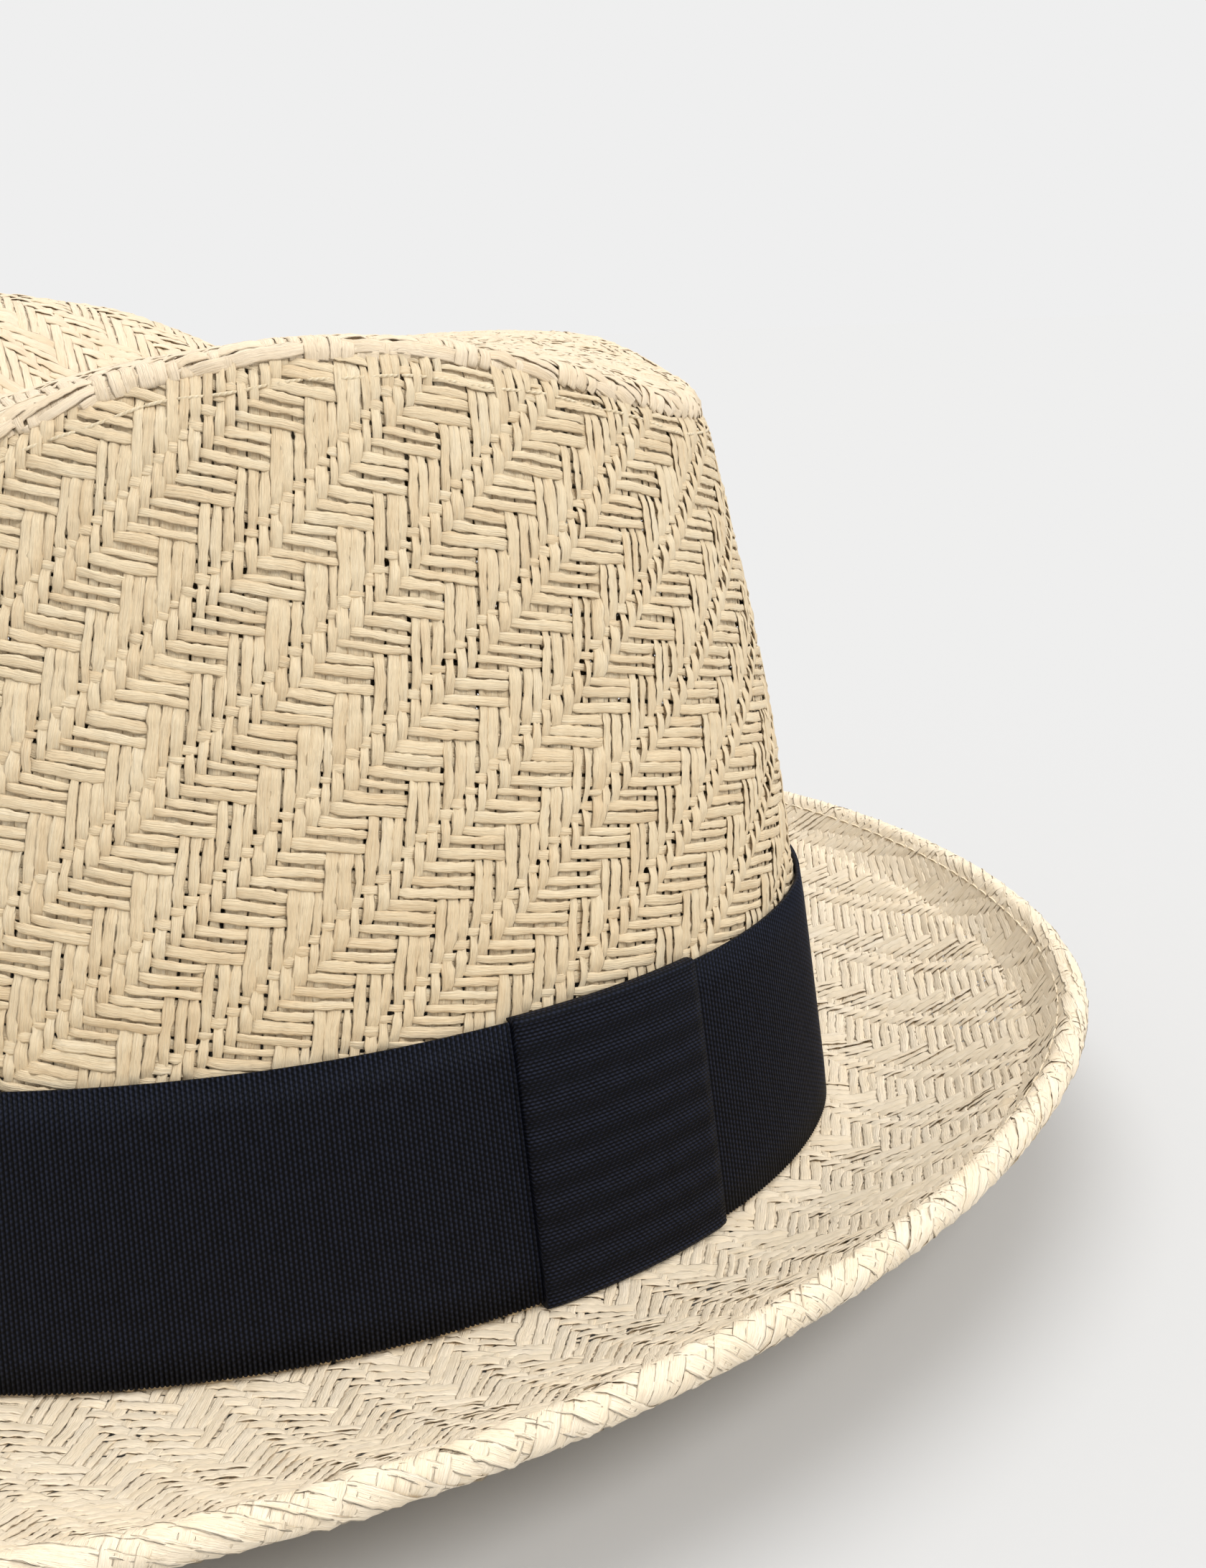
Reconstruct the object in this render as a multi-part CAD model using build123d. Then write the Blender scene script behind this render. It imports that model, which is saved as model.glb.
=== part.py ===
from build123d import *

import math
import os

# Woven straw trilby, cut and sewn. Millimetres.
# +Z is up, the front of the hat is -Y, the wearer's left is +X.
# The origin is on the table, in the middle of the brim's outline.

# ---- driving dimensions -------------------------------------------------------------------------
crown_half_width = 88.0        # outside of the crown at the brim, across the head
crown_half_length = 103.5      # the same, front to back
crown_roundness = 1.84         # exponent of the head oval: 2 is an ellipse
cloth_thickness = 2.0          # woven straw cloth of the crown
brim_thickness = 2.4           # the brim's cloth, pressed and stiffened
seam_height_back = 110.2       # height of the seam round the tip
seam_height_side = 106.5
seam_height_front = 124.0
seam_hump = 11.0               # lifts the seam behind the ears and lowers it at the pinches
seam_dip = 1.7                 # the seam is drawn down a little more at each pinch
seam_dip_angle = 59.2          # either side of straight ahead, degrees
seam_dip_spread = 21.2
crown_taper = 0.11             # how far the wall leans in for each millimetre of height
crown_round_in = 4.8           # extra lean that builds up towards the top
round_in_height = 106.5        # height at which that lean is reached
pinch_depth = 9.0              # the two hand pinches at the front of the crown
pinch_angle = 46.0             # either side of straight ahead, degrees
pinch_spread = 19.0
pinch_low = 45.0               # the pinch grows between these heights
pinch_high = 108.0
tip_dome = 6.7                 # how far the tip swells above its seam
peak_height = 34.8             # the tip rises this much more towards the front
peak_start = 10.0              # the rise begins and ends at these distances from the middle
peak_end = -40.0
dent_depth = 24.8              # teardrop dent along the tip
dent_half_width = 42.2         # where it is widest, at the front
dent_offset = 4.0              # the hand-pressed dent lies a little to the wearer's left
dent_front_end = -50.0         # the dent is widest from here forward
dent_back_end = 40.0           # where it dies out towards the back
dent_fade = 60.0               # length over which it dies out
rim_fade = 0.70                # share of the way to the rim at which the dent begins to fade

brim_width_front = 50.0        # plan widths, from the crown to the outer edge
brim_width_side = 53.1
brim_width_back = 40.0
brim_rise_front = 2.0          # height of the edge above the ring that rests on the table
brim_rise_side = 19.9
brim_rise_back = 23.8
brim_curl = 1.6                # exponent of the turn-up: 1 is straight, more curls at the edge
brim_flat_ring = 4.0           # flat ring round the head opening
hem_width = 5.2
hem_thickness = 4.4
hem_slot_depth = 3.8           # the slot in the rolled hem that takes the brim's edge and the wire
hem_mouth_slant = 0.6          # the mouth of the slot is cut back by this much
hem_round = 1.8                # where the hem's rounded edge begins
hem_nose = 0.5
wire_size = 1.2

ribbon_low = 3.6               # the band's lower edge
ribbon_height = 36.4
ribbon_thickness = 0.9
knot_angle = 58.9              # from straight left, towards the back, degrees
knot_width = 29.4
knot_thickness = 1.5
knot_overhang = 0.9            # how far the knot reaches past the band's edges
knot_round = 0.6               # its rounded fold at both edges

seat = 0.02                    # gap between the tip and the wall's top edge
sweatband_thickness = 1.2
sweatband_low = 0.6
sweatband_height = 33.0
tape_height = 14.0             # binding over the seam allowances inside the crown
tape_thickness = 0.6
tape_top_drop = 1.5            # the binding stops this far below the seam
tape_gap = 0.06                # and stands this much more off the cloth than other pieces
tab_low_margin = 1.5           # the back tab stops short of the sweatband's edges
tab_high_margin = 3.0
label_gap = 6.0                # between the sweatband and the size label
tab_width = 14.0               # ribbon tab over the sweatband's joint, at the back
tab_thickness = 0.6
label_width = 32.0             # blank size label, on the wearer's right
label_height = 14.0
label_thickness = 0.4

thread = 0.8                   # sewing thread
stitch_length = 3.4
stitch_pitch = 4.2
topstitch_drop = 3.0           # below the seam round the tip
hem_stitch_inset = 1.4         # out from the hem's inner edge
band_stitch_height = 3.0       # above the sweatband's lower edge
row_end_gap = 2.0              # a row of stitches stops this far from a seam, or twice that from a band
thread_gap = 0.08              # keeps straight stitches off the curved cloth
rim_inset = 15.0               # the rim lies this far in from the head opening's outline
band_inset = 5.0               # and the sweatband's face this far
tack_drop = 2.5                # below the ribbon's top edge
tack_half_angle = 1.1          # degrees
back_seam_angle = 118.0        # the wall's seam: behind, round to the wearer's right
back_seam_half_gap = 2.2       # each row of stitches from that seam
tack_angles = (-150.0, -90.0, -30.0, 135.0, 175.0)
clearance = 0.1                # between pieces that are sewn face to face
window_depth = 40.0            # depth of the box that cuts a short piece out of a ring

OUTLINE_POINTS = 48            # points of each closed outline
WALL_LEVELS = 10               # steps of the crown's wall, from the brim to the seam
TIP_RINGS = (1.0, 0.95, 0.9, 0.82, 0.74, 0.66, 0.57, 0.48, 0.39, 0.3, 0.2, 0.1, 0.03)
BRIM_SHARES = (0.0, 0.15, 0.3, 0.45, 0.6, 0.75, 0.88)


# ---- outlines and shells ------------------------------------------------------------------------
def polar(theta, radius, height):
    return Vector(radius * math.cos(theta), radius * math.sin(theta), height)


def blend(value, low, high):
    """0 below low, 1 above high, smooth between."""
    t = min(max((value - low) / (high - low), 0.0), 1.0)
    return t * t * (3.0 - 2.0 * t)


def closed_curve(point_of):
    """A smooth closed curve through point_of(theta), with theta once round the hat."""
    turn = 2.0 * math.pi / OUTLINE_POINTS
    return Edge.make_spline([point_of(turn * i) for i in range(OUTLINE_POINTS)], periodic=True)


def ring_solid(point_functions, flat_start=False):
    """A closed ring: the functions give the corners of its section, in order.

    With flat_start the first two corners are level, the inner one first, and get a plane face.
    """
    curves = [closed_curve(point_of) for point_of in point_functions]
    following = curves[1:] + curves[:1]
    faces = [Face.make_surface_from_curves(a, b) for a, b in zip(curves, following)]
    if flat_start:
        faces[0] = Face(Wire([curves[1]]), [Wire([curves[0]])])
    return Solid(Shell(faces))


def disc_solid(point_functions):
    """Like ring_solid, but its first and last outlines are flat and are closed with faces."""
    curves = [closed_curve(point_of) for point_of in point_functions]
    faces = [Face.make_surface_from_curves(a, b) for a, b in zip(curves, curves[1:])]
    faces += [Face(Wire([curves[0]])), Face(Wire([curves[-1]]))]
    return Solid(Shell(faces))


# ---- the crown's wall ---------------------------------------------------------------------------
def oval_radius(theta):
    """Outside of the crown at the brim. Theta is 0 at the wearer's left and 90 at the back."""
    across = abs(math.cos(theta) / crown_half_width) ** crown_roundness
    along = abs(math.sin(theta) / crown_half_length) ** crown_roundness
    return (across + along) ** (-1.0 / crown_roundness)


def at_pinches(theta, angle, spread):
    """1 at two places, this many degrees either side of straight ahead, fading to 0 around them."""
    from_front = (math.degrees(theta) + 270.0) % 360.0 - 180.0
    return math.exp(-((abs(from_front) - angle) / spread) ** 2)


def wall_radius(theta, height):
    """Outside of the crown's wall at this height."""
    share = height / round_in_height
    inset = crown_taper * height + crown_round_in * share ** 4
    pinch = pinch_depth * at_pinches(theta, pinch_angle, pinch_spread)
    return oval_radius(theta) - inset - pinch * blend(height, pinch_low, pinch_high)


def seam_height(x, y):
    """Height of the seam between tip and side, before the dips at the pinches.

    Round the rim it is a level, plus tilt * sin(theta), arch * cos(2 theta) and
    hump * sin(3 theta), written here in x and y so that it also runs smoothly inside the rim.
    """
    across = x / wall_radius(0.0, seam_height_side)
    along = y / wall_radius(math.pi / 2, seam_height_back)
    ends = (seam_height_front + seam_height_back) / 2
    arch = (seam_height_side - ends) / 2
    tilt = (seam_height_back - seam_height_front) / 2 + seam_hump
    hump = seam_hump * (3.0 * across ** 2 * along - along ** 3)
    return ends + arch + tilt * along + arch * (across ** 2 - along ** 2) + hump


def rim_height(theta):
    """Top of the wall, where the tip's cloth rests on it."""
    dip = seam_dip * at_pinches(theta, seam_dip_angle, seam_dip_spread)
    height = seam_height_side
    for _ in range(8):
        radius = wall_radius(theta, height)
        height = seam_height(radius * math.cos(theta), radius * math.sin(theta)) - dip
    return height


def wall_square(theta, height):
    """A point of the wall, and the direction square to the wall there, in degrees."""
    before = polar(theta - 0.01, wall_radius(theta - 0.01, height), height)
    after = polar(theta + 0.01, wall_radius(theta + 0.01, height), height)
    run = after - before
    return (before + after) / 2, math.degrees(math.atan2(-run.X, run.Y))


def wall_point(low, high, share, offset):
    """A point of the wall between a fixed low height and a high one, moved out by offset."""
    def point_of(theta):
        top = rim_height(theta) + high if high <= 0 else high
        height = low + share * (top - low)
        return polar(theta, wall_radius(theta, height) + offset, height)

    return point_of


def wall_band(low, high, outer_offset, inner_offset, steps):
    """A band of the wall. A high of 0 or less is measured from the rim."""
    up = [wall_point(low, high, i / steps, outer_offset) for i in range(steps + 1)]
    down = [wall_point(low, high, i / steps, inner_offset) for i in range(steps, -1, -1)]
    return ring_solid(up + down)


# ---- crown --------------------------------------------------------------------------------------
def tip_height(x, y):
    """Outside of the tip: a dome, higher in front, with a teardrop dent that closes at the back."""
    theta = math.atan2(y, x)
    share = math.hypot(x, y) / wall_radius(theta, rim_height(theta))
    dip = seam_dip * at_pinches(theta, seam_dip_angle, seam_dip_spread) * blend(share, 0.5, 1.0)
    peak = peak_height * blend(-y, -peak_start, -peak_end)
    dome = (tip_dome + peak) * (1.0 - share ** 4)
    fade_back = 1.0 - blend(y, dent_back_end - dent_fade, dent_back_end)
    widening = blend(-y, -dent_back_end, -dent_front_end)
    half_width = dent_half_width * (1.0 + widening) / 2
    valley = math.exp(-((x - dent_offset) / half_width) ** 2)
    fade_rim = 1.0 - blend(share, rim_fade, 1.0)
    dent = dent_depth * valley * fade_back * fade_rim
    return seam_height(x, y) - dip + cloth_thickness + dome - dent


def make_crown_tip():
    """The tip lies over the wall's top edge and is as wide as the wall's outside."""
    centre_height = tip_height(0.0, 0.0)

    def ring_point(share, drop):
        def point_of(theta):
            radius = share * wall_radius(theta, rim_height(theta))
            x = radius * math.cos(theta)
            y = radius * math.sin(theta)
            flat = share == TIP_RINGS[-1]
            top = centre_height if flat else tip_height(x, y)
            return Vector(x, y, top - drop)

        return point_of

    top = [ring_point(share, 0.0) for share in reversed(TIP_RINGS)]
    under = [ring_point(share, cloth_thickness - seat) for share in TIP_RINGS]
    return disc_solid(top + under)


def make_crown_side():
    low = brim_thickness + clearance
    return wall_band(low, 0.0, 0.0, -cloth_thickness, WALL_LEVELS)


def make_tip_seam_tape():
    """Binding inside the wall, under the tip; both its edges follow the rim."""
    face = -cloth_thickness - clearance - tape_gap
    levels = (-tape_top_drop, -tape_height / 2, -tape_height)

    def point(drop, offset):
        def point_of(theta):
            height = rim_height(theta) + drop
            return polar(theta, wall_radius(theta, height) + offset, height)

        return point_of

    outer = [point(drop, face) for drop in levels]
    inner = [point(drop, face - tape_thickness) for drop in reversed(levels)]
    return ring_solid(outer + inner)


# ---- brim ---------------------------------------------------------------------------------------
def around(theta, front, side, back):
    """A value that runs smoothly from the front, past the sides, to the back."""
    s = math.sin(theta)
    end = back if s > 0 else front
    return side + (end - side) * s * s


def brim_edge_radius(theta):
    return oval_radius(theta) + around(theta, brim_width_front, brim_width_side, brim_width_back)


def brim_point(share, up, inset=0.0):
    """A point up from the brim's underside, square to it, and inset back along it.

    Share is 0 at the end of the flat ring and 1 at the brim's edge.
    """
    def point_of(theta):
        start = oval_radius(theta) + brim_flat_ring
        width = brim_edge_radius(theta) - start
        rise = around(theta, brim_rise_front, brim_rise_side, brim_rise_back)
        slope = math.atan(brim_curl * rise * share ** (brim_curl - 1.0) / width)
        radius = start + share * width - up * math.sin(slope) - inset * math.cos(slope)
        height = rise * share ** brim_curl + up * math.cos(slope) - inset * math.sin(slope)
        return polar(theta, radius, height)

    return point_of


def opening_point(height):
    def point_of(theta):
        return polar(theta, oval_radius(theta) - cloth_thickness, height)

    return point_of


def make_brim():
    """The cloth from the head opening into the hem's slot."""
    tongue = hem_slot_depth - wire_size - 2 * clearance
    tongue_inset = hem_width - tongue
    under = [opening_point(0.0)] + [brim_point(share, 0.0) for share in BRIM_SHARES]
    under.append(brim_point(1.0, 0.0, tongue_inset))
    upper = [brim_point(1.0, brim_thickness, tongue_inset)]
    upper += [brim_point(share, brim_thickness) for share in reversed(BRIM_SHARES)]
    upper.append(opening_point(brim_thickness))
    return ring_solid(under + upper, flat_start=True)


def make_brim_hem():
    """The rolled edge: a rounded C section, open towards the crown."""
    middle = brim_thickness / 2
    half = hem_thickness / 2
    slot = brim_thickness / 2 + clearance
    mouth = hem_width
    lip = mouth - hem_mouth_slant
    nose_half = 0.6 * half
    bottom = mouth - hem_slot_depth
    section = [
        (mouth, middle - slot), (lip, middle - half), (hem_round, middle - half),
        (hem_nose, middle - nose_half), (0.0, middle), (hem_nose, middle + nose_half),
        (hem_round, middle + half), (lip, middle + half), (mouth, middle + slot),
        (bottom, middle + slot), (bottom, middle - slot),
    ]
    return ring_solid([brim_point(1.0, up, inset) for inset, up in section])


def make_hem_wire():
    """A stiffening wire that runs in the bottom of the hem's slot."""
    outer = hem_width - hem_slot_depth + clearance / 2
    inner = outer + wire_size
    low = (brim_thickness - wire_size) / 2
    high = low + wire_size
    corners = [(outer, low), (outer, high), (inner, high), (inner, low)]
    return ring_solid([brim_point(1.0, up, inset) for inset, up in corners])


# ---- ribbon -------------------------------------------------------------------------------------
def make_ribbon_band():
    high = ribbon_low + ribbon_height
    outer = clearance + ribbon_thickness
    return wall_band(ribbon_low, high, outer, clearance, 4)


def make_ribbon_knot():
    """A folded length of ribbon that wraps the band and both its edges."""
    band_low = ribbon_low - clearance
    band_high = ribbon_low + ribbon_height + clearance
    low = band_low - knot_overhang
    high = band_high + knot_overhang
    over_band = clearance + ribbon_thickness + clearance
    proud = over_band + knot_thickness

    def point(height, offset):
        return lambda theta: polar(theta, wall_radius(theta, height) + offset, height)

    section = [
        (low, clearance), (low, proud - knot_round), (low + knot_round, proud),
        (high - knot_round, proud), (high, proud - knot_round), (high, clearance),
        (band_high, clearance), (band_high, over_band), (band_low, over_band),
        (band_low, clearance),
    ]
    sleeve = ring_solid([point(height, offset) for height, offset in section])
    theta = math.radians(knot_angle)
    place, facing = wall_square(theta, (low + high) / 2)
    window = Pos(place) * Rot(0, 0, facing) * Box(window_depth, knot_width, 2 * ribbon_height)
    return sleeve & window


# ---- inside -------------------------------------------------------------------------------------
def wall_plate(theta_degrees, width, low, high, face, thickness):
    """A thin plate on the inside of the wall, face in from the wall's outside."""
    band = wall_band(low, high, -face, -face - thickness, 2)
    place, facing = wall_square(math.radians(theta_degrees), (low + high) / 2)
    window = Pos(place) * Rot(0, 0, facing) * Box(window_depth, width, 2 * (high - low))
    return band & window


sweatband_face = cloth_thickness + clearance
sweatband_inside = sweatband_face + sweatband_thickness
sweatband_high = sweatband_low + sweatband_height


def make_sweatband():
    return wall_band(sweatband_low, sweatband_high, -sweatband_face, -sweatband_inside, 3)


def make_sweatband_back_tab():
    low = sweatband_low + tab_low_margin
    return wall_plate(90.0, tab_width, low, sweatband_high - tab_high_margin,
                      sweatband_inside + clearance, tab_thickness)


def make_size_label():
    low = sweatband_high + label_gap
    return wall_plate(180.0, label_width, low, low + label_height,
                      sweatband_face, label_thickness)


# ---- sewing -------------------------------------------------------------------------------------
def stitch(start, end):
    """One straight stitch between two points."""
    run = end - start
    from_start = (Align.CENTER, Align.CENTER, Align.MIN)
    return Plane(origin=start, z_dir=run) * Cylinder(thread / 2, run.length, align=from_start)


def outline(more_width, more_length):
    """Roughly how far it is round an oval that much larger than the head opening."""
    return math.pi * (crown_half_width + more_width + crown_half_length + more_length)


def stitch_row(point_of, length):
    """Separate stitches along a line; point_of takes the share of the way along it."""
    count = round(length / stitch_pitch)
    share = stitch_length / stitch_pitch
    return [stitch(point_of(i / count), point_of((i + share) / count)) for i in range(count)]


def on_wall(theta, height, proud):
    """The middle of a thread that lies on the wall, proud of its outside."""
    radius = wall_radius(theta, height) + proud + thread / 2 + clearance + thread_gap
    return polar(theta, radius, height)


def make_tip_topstitching():
    def point_of(share):
        theta = 2.0 * math.pi * share
        return on_wall(theta, rim_height(theta) - topstitch_drop, 0.0)

    return stitch_row(point_of, outline(-rim_inset, -rim_inset))


def make_back_seam_stitching():
    seam = math.radians(back_seam_angle)
    low = ribbon_low + ribbon_height + 2 * row_end_gap
    high = rim_height(seam) - topstitch_drop - row_end_gap
    stitches = []
    for side in (-1, 1):
        theta = seam + side * back_seam_half_gap / crown_half_length

        def point_of(share):
            return on_wall(theta, low + share * (high - low), 0.0)

        stitches += stitch_row(point_of, high - low)
    return stitches


def make_hem_stitching():
    """A row on the hem's upper side, near its inner edge."""
    up = (brim_thickness + hem_thickness) / 2 + thread / 2 + clearance
    place = brim_point(1.0, up, hem_width - hem_stitch_inset)
    length = outline(brim_width_side, (brim_width_front + brim_width_back) / 2)
    return stitch_row(lambda share: place(2.0 * math.pi * share), length)


def make_ribbon_tacks():
    """Short bar tacks that hold the band to the crown near its top edge."""
    height = ribbon_low + ribbon_height - tack_drop
    half = math.radians(tack_half_angle)
    proud = clearance + ribbon_thickness
    tacks = []
    for angle in tack_angles:
        theta = math.radians(angle)
        start = on_wall(theta - half, height, proud)
        tacks.append(stitch(start, on_wall(theta + half, height, proud)))
    return tacks


def make_sweatband_stitching():
    """A row round the inside of the sweatband, broken where the back tab covers it."""
    height = sweatband_low + band_stitch_height
    radius_in = sweatband_inside + clearance + thread / 2 + thread_gap
    tab_half = math.degrees((tab_width / 2 + 2 * row_end_gap) / crown_half_length)

    def point_of(share):
        degrees = 90.0 + tab_half + share * (360.0 - 2.0 * tab_half)
        theta = math.radians(degrees)
        return polar(theta, wall_radius(theta, height) - radius_in, height)

    return stitch_row(point_of, outline(-band_inset, -band_inset))


# ---- the whole hat ------------------------------------------------------------------------------
nodes = {
    "crown_side": make_crown_side(),
    "crown_tip": make_crown_tip(),
    "tip_seam_tape": make_tip_seam_tape(),
    "brim": make_brim(),
    "brim_hem": make_brim_hem(),
    "hem_wire": make_hem_wire(),
    "ribbon_band": make_ribbon_band(),
    "ribbon_knot": make_ribbon_knot(),
    "sweatband": make_sweatband(),
    "sweatband_back_tab": make_sweatband_back_tab(),
    "size_label": make_size_label(),
    "tip_topstitching": Compound(make_tip_topstitching()),
    "back_seam_stitching": Compound(make_back_seam_stitching()),
    "hem_stitching": Compound(make_hem_stitching()),
    "ribbon_tacks": Compound(make_ribbon_tacks()),
    "sweatband_stitching": Compound(make_sweatband_stitching()),
}

# the crown's middle lies off the origin, because the brim is wider in front than behind
to_origin = Pos(0, (brim_width_front - brim_width_back) / 2, 0)

os.makedirs("parts", exist_ok=True)
for name, shape in nodes.items():
    export_step(to_origin * shape, f"parts/{name}.step")
    print(name, shape.is_valid, len(shape.solids()), round(shape.volume))
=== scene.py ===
import math

import bpy
import numpy as np
from mathutils import Matrix, Vector


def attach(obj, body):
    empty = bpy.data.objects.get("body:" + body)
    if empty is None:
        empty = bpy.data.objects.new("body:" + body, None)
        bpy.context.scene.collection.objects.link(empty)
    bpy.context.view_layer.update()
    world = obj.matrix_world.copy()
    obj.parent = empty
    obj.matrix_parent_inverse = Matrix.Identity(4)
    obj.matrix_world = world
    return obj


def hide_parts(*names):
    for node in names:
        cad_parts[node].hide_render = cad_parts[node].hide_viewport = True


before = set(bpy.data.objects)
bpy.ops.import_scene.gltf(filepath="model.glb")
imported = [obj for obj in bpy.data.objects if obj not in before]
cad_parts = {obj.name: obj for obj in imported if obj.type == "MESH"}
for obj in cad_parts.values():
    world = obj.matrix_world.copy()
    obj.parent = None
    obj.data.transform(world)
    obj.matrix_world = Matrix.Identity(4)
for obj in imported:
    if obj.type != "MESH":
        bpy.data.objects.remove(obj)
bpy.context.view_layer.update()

# Woven straw trilby. Sizes in this file are millimetres until a mesh is made; MM turns them into
# metres. +Z is up, the front is -Y, the wearer's left is +X. Theta is 0 at the left, 90 at the back.
MM = 0.001

# ---- the hat's shape, as in the CAD model ---------------------------------------------------------
HALF_WIDTH, HALF_LENGTH, ROUNDNESS = 88.0, 103.5, 1.84
SEAM_BACK, SEAM_SIDE, SEAM_FRONT, SEAM_HUMP = 110.2, 106.5, 124.0, 11.0
SEAM_DIP, SEAM_DIP_ANGLE, SEAM_DIP_SPREAD = 1.7, 59.2, 21.2
TAPER, ROUND_IN = 0.11, 4.8
PINCH_DEPTH, PINCH_ANGLE, PINCH_SPREAD, PINCH_LOW, PINCH_HIGH = 9.0, 46.0, 19.0, 45.0, 108.0
TIP_DOME, PEAK_HEIGHT, PEAK_START, PEAK_END = 6.7, 34.8, 10.0, -40.0
DENT_DEPTH, DENT_HALF_WIDTH, DENT_OFFSET = 24.8, 42.2, 4.0
DENT_FRONT_END, DENT_BACK_END, DENT_FADE = -50.0, 40.0, 60.0
BRIM_WIDTHS = (50.0, 53.1, 40.0)      # front, side, back
BRIM_RISES = (2.0, 19.9, 23.8)
BRIM_CURL, FLAT_RING, BRIM_THICKNESS = 1.6, 4.0, 2.4
HEM_WIDTH, HEM_THICKNESS = 5.2, 4.4
CLOTH_THICKNESS = 2.0
RIBBON_LOW, RIBBON_HEIGHT = 3.6, 36.4
KNOT_ANGLE, KNOT_WIDTH = math.radians(58.9), 29.4
CENTRE_Y = (BRIM_WIDTHS[0] - BRIM_WIDTHS[2]) / 2

TURN = 2.0 * math.pi


def blend(value, low, high):
    t = np.clip((value - low) / (high - low), 0.0, 1.0)
    return t * t * (3.0 - 2.0 * t)


def oval_radius(theta):
    across = np.abs(np.cos(theta) / HALF_WIDTH) ** ROUNDNESS
    along = np.abs(np.sin(theta) / HALF_LENGTH) ** ROUNDNESS
    return (across + along) ** (-1.0 / ROUNDNESS)


def at_pinches(theta, angle, spread):
    from_front = (np.degrees(theta) + 270.0) % 360.0 - 180.0
    return np.exp(-((np.abs(from_front) - angle) / spread) ** 2)


def wall_radius(theta, height):
    share = np.maximum(height / SEAM_SIDE, 0.0)
    inset = TAPER * height + ROUND_IN * share ** 4
    pinch = PINCH_DEPTH * at_pinches(theta, PINCH_ANGLE, PINCH_SPREAD)
    return oval_radius(theta) - inset - pinch * blend(height, PINCH_LOW, PINCH_HIGH)


def seam_height(x, y):
    across = x / wall_radius(np.float64(0.0), SEAM_SIDE)
    along = y / wall_radius(np.float64(math.pi / 2), SEAM_BACK)
    ends = (SEAM_FRONT + SEAM_BACK) / 2
    arch = (SEAM_SIDE - ends) / 2
    tilt = (SEAM_BACK - SEAM_FRONT) / 2 + SEAM_HUMP
    hump = SEAM_HUMP * (3.0 * across ** 2 * along - along ** 3)
    return ends + arch + tilt * along + arch * (across ** 2 - along ** 2) + hump


def find_rim(theta):
    height = np.full_like(theta, SEAM_SIDE)
    for _ in range(8):
        radius = wall_radius(theta, height)
        height = seam_height(radius * np.cos(theta), radius * np.sin(theta))
        height -= SEAM_DIP * at_pinches(theta, SEAM_DIP_ANGLE, SEAM_DIP_SPREAD)
    return height


RIM_TABLE = find_rim(np.linspace(0.0, TURN, 721))


def rim_height(theta):
    return np.interp(np.mod(theta, TURN), np.linspace(0.0, TURN, 721), RIM_TABLE)


def tip_height(x, y):
    theta = np.arctan2(y, x)
    share = np.hypot(x, y) / wall_radius(theta, rim_height(theta))
    dip = SEAM_DIP * at_pinches(theta, SEAM_DIP_ANGLE, SEAM_DIP_SPREAD) * blend(share, 0.5, 1.0)
    dome = (TIP_DOME + PEAK_HEIGHT * blend(-y, -PEAK_START, -PEAK_END)) * (1.0 - share ** 4)
    fade_back = 1.0 - blend(y, DENT_BACK_END - DENT_FADE, DENT_BACK_END)
    half_width = DENT_HALF_WIDTH * (1.0 + blend(-y, -DENT_BACK_END, -DENT_FRONT_END)) / 2
    valley = np.exp(-((x - DENT_OFFSET) / half_width) ** 2)
    fade_rim = 1.0 - blend(share, 0.70, 1.0)
    dent = DENT_DEPTH * valley * fade_back * fade_rim
    return seam_height(x, y) - dip + CLOTH_THICKNESS + dome - dent


def around(theta, values):
    front, side, back = values
    s = np.sin(theta)
    return side + (np.where(s > 0, back, front) - side) * s * s


def brim_place(theta, share, up, inset=0.0):
    """Radius and height of a point up from the brim's underside and inset back along it."""
    start = oval_radius(theta) + FLAT_RING
    width = oval_radius(theta) + around(theta, BRIM_WIDTHS) - start
    rise = around(theta, BRIM_RISES)
    slope = np.arctan(BRIM_CURL * rise * share ** (BRIM_CURL - 1.0) / width)
    radius = start + share * width - up * np.sin(slope) - inset * np.cos(slope)
    height = rise * share ** BRIM_CURL + up * np.cos(slope) - inset * np.sin(slope)
    return radius, height


# ---- smooth noise, the same on every run ----------------------------------------------------------
def waves(seed, count, lowest, highest, dims=2):
    """Directions, phases and sizes of a few sine waves that add up to a soft unevenness."""
    r = np.random.default_rng(seed)
    size = r.uniform(lowest, highest, count)
    direction = r.normal(size=(count, dims))
    direction /= np.linalg.norm(direction, axis=1)[:, None]
    return direction * (TURN / size)[:, None], r.uniform(0.0, TURN, count)


def unevenness(points, wave_set):
    k, phase = wave_set
    return np.sin(points @ k.T + phase).mean(axis=-1) * math.sqrt(2.0)


# ---- meshes ---------------------------------------------------------------------------------------
def mesh_object(name, verts, quads, fibre, material):
    """A smooth piece from arrays: verts in mm about the crown's middle, quads, a vector per vertex."""
    mesh = bpy.data.meshes.new(name)
    place = (verts + np.array([0.0, CENTRE_Y, 0.0])) * MM
    mesh.vertices.add(len(place))
    mesh.vertices.foreach_set("co", place.astype(np.float32).ravel())
    mesh.loops.add(quads.size)
    mesh.loops.foreach_set("vertex_index", quads.astype(np.int32).ravel())
    mesh.polygons.add(len(quads))
    mesh.polygons.foreach_set("loop_start", np.arange(0, quads.size, 4, dtype=np.int32))
    mesh.polygons.foreach_set("use_smooth", np.full(len(quads), True))
    mesh.update(calc_edges=True)
    mesh.validate()
    layer = mesh.attributes.new("fibre", "FLOAT_VECTOR", "POINT")
    layer.data.foreach_set("vector", fibre.astype(np.float32).ravel())
    mesh.materials.append(material)
    piece = bpy.data.objects.new(name, mesh)
    bpy.context.scene.collection.objects.link(piece)
    return piece


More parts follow.
